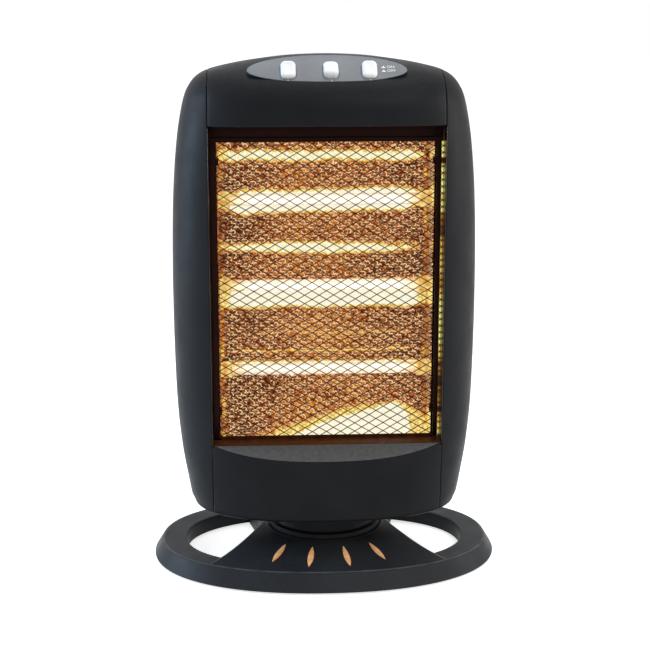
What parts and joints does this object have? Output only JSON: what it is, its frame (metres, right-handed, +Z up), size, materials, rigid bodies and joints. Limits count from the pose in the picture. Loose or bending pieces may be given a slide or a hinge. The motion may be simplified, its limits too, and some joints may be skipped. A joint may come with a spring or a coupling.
{
  "type": "halogen heater",
  "caption": "Free-standing halogen heater on an oval swivel base, with quartz lamps before a corrugated mirror, a diamond guard and rocker switches on its head.",
  "frame": {"origin": "centre of the base's bounding box, on the floor", "axes": "+Z up, -Y to the front grille, +X to the heater's left as it faces the room"},
  "size_m": [0.34, 0.24, 0.4968],
  "materials": {
    "body_plastic": "satin moulded plastic",
    "black_metal": "black enamel",
    "black_plastic": "matte",
    "panel_plastic": "satin",
    "white_plastic": "gloss",
    "amber_plastic": "satin",
    "rubber": "matte",
    "steel": "zinc plated",
    "reflector_metal": "polished aluminium",
    "lamp_glass": "quartz",
    "filament": "glowing tungsten",
    "cap_ceramic": "bisque"
  },
  "bodies": {
    "base": {"base_shell": "body_plastic", "base_plate": "black_plastic", "slot_insert_1": "amber_plastic", "slot_insert_2": "amber_plastic", "slot_insert_3": "amber_plastic", "slot_insert_4": "amber_plastic", "foot_1": "rubber", "foot_2": "rubber", "foot_3": "rubber", "foot_4": "rubber", "cord_gland": "rubber", "tip_switch_body": "black_plastic", "swivel_washer": "white_plastic", "centre_post": "steel", "retaining_ring": "steel", "oscillation_arm": "steel"},
    "tip_plunger": {"tip_switch_plunger": "white_plastic"},
    "heater": {"turntable": "black_plastic", "floor_pan": "black_plastic", "oscillation_motor": "steel", "motor_bracket": "steel", "lower_panel": "body_plastic", "head": "body_plastic", "left_pillar": "body_plastic", "right_pillar": "body_plastic", "rear_cover": "body_plastic", "control_panel": "panel_plastic", "switch_body_1": "black_plastic", "switch_body_2": "black_plastic", "switch_body_3": "black_plastic", "lamp_tube_1": "lamp_glass", "lamp_filament_1": "filament", "lamp_cap_1_left": "cap_ceramic", "lamp_cap_1_right": "cap_ceramic", "lamp_tube_2": "lamp_glass", "lamp_filament_2": "filament", "lamp_cap_2_left": "cap_ceramic", "lamp_cap_2_right": "cap_ceramic", "lamp_tube_3": "lamp_glass", "lamp_filament_3": "filament", "lamp_cap_3_left": "cap_ceramic", "lamp_cap_3_right": "cap_ceramic", "reflector": "reflector_metal", "side_plate_left": "reflector_metal", "side_plate_right": "reflector_metal", "heat_shield": "steel", "thermal_cutout": "black_plastic", "terminal_block": "white_plastic", "guard_bar_left": "black_metal", "guard_bar_right": "black_metal", "guard_rail_top": "black_metal", "guard_clip_left_1": "black_metal", "guard_clip_left_2": "black_metal", "guard_clip_right_1": "black_metal", "guard_clip_right_2": "black_metal", "guard_mesh": "black_metal"},
    "crank": {"oscillation_crank": "white_plastic"},
    "rocker_left": {"rocker_1": "white_plastic"},
    "rocker_middle": {"rocker_2": "white_plastic"},
    "rocker_right": {"rocker_3": "white_plastic"}
  },
  "joints": [
    {"name": "swivel", "type": "hinge", "parent": "base", "child": "heater", "pos_m": [0, 0, 0.029], "axis": [0, 0, 1], "range_deg": [-35, 35]},
    {"name": "crank_spin", "type": "hinge", "parent": "heater", "child": "crank", "pos_m": [0, -0.042, 0.0758], "axis": [0, 0, 1], "range_deg": [-125, 125]},
    {"name": "tip_switch", "type": "slide", "parent": "base", "child": "tip_plunger", "axis": [0, 0, -1], "range_m": [0, 0.005], "stiffness_N_per_m": 150, "springref_m": 0.008},
    {"name": "rocker_left_tilt", "type": "hinge", "parent": "heater", "child": "rocker_left", "pos_m": [-0.038, -0.05124, 0.48078], "axis": [1, 0, 0], "range_deg": [-16, 0]},
    {"name": "rocker_middle_tilt", "type": "hinge", "parent": "heater", "child": "rocker_middle", "pos_m": [0, -0.05124, 0.48078], "axis": [1, 0, 0], "range_deg": [0, 16]},
    {"name": "rocker_right_tilt", "type": "hinge", "parent": "heater", "child": "rocker_right", "pos_m": [0.038, -0.05124, 0.48078], "axis": [1, 0, 0], "range_deg": [-16, 0]}
  ],
  "couplings": [
    {"joint": "crank_spin", "follows": "swivel", "ratio": -3.5714}
  ]
}
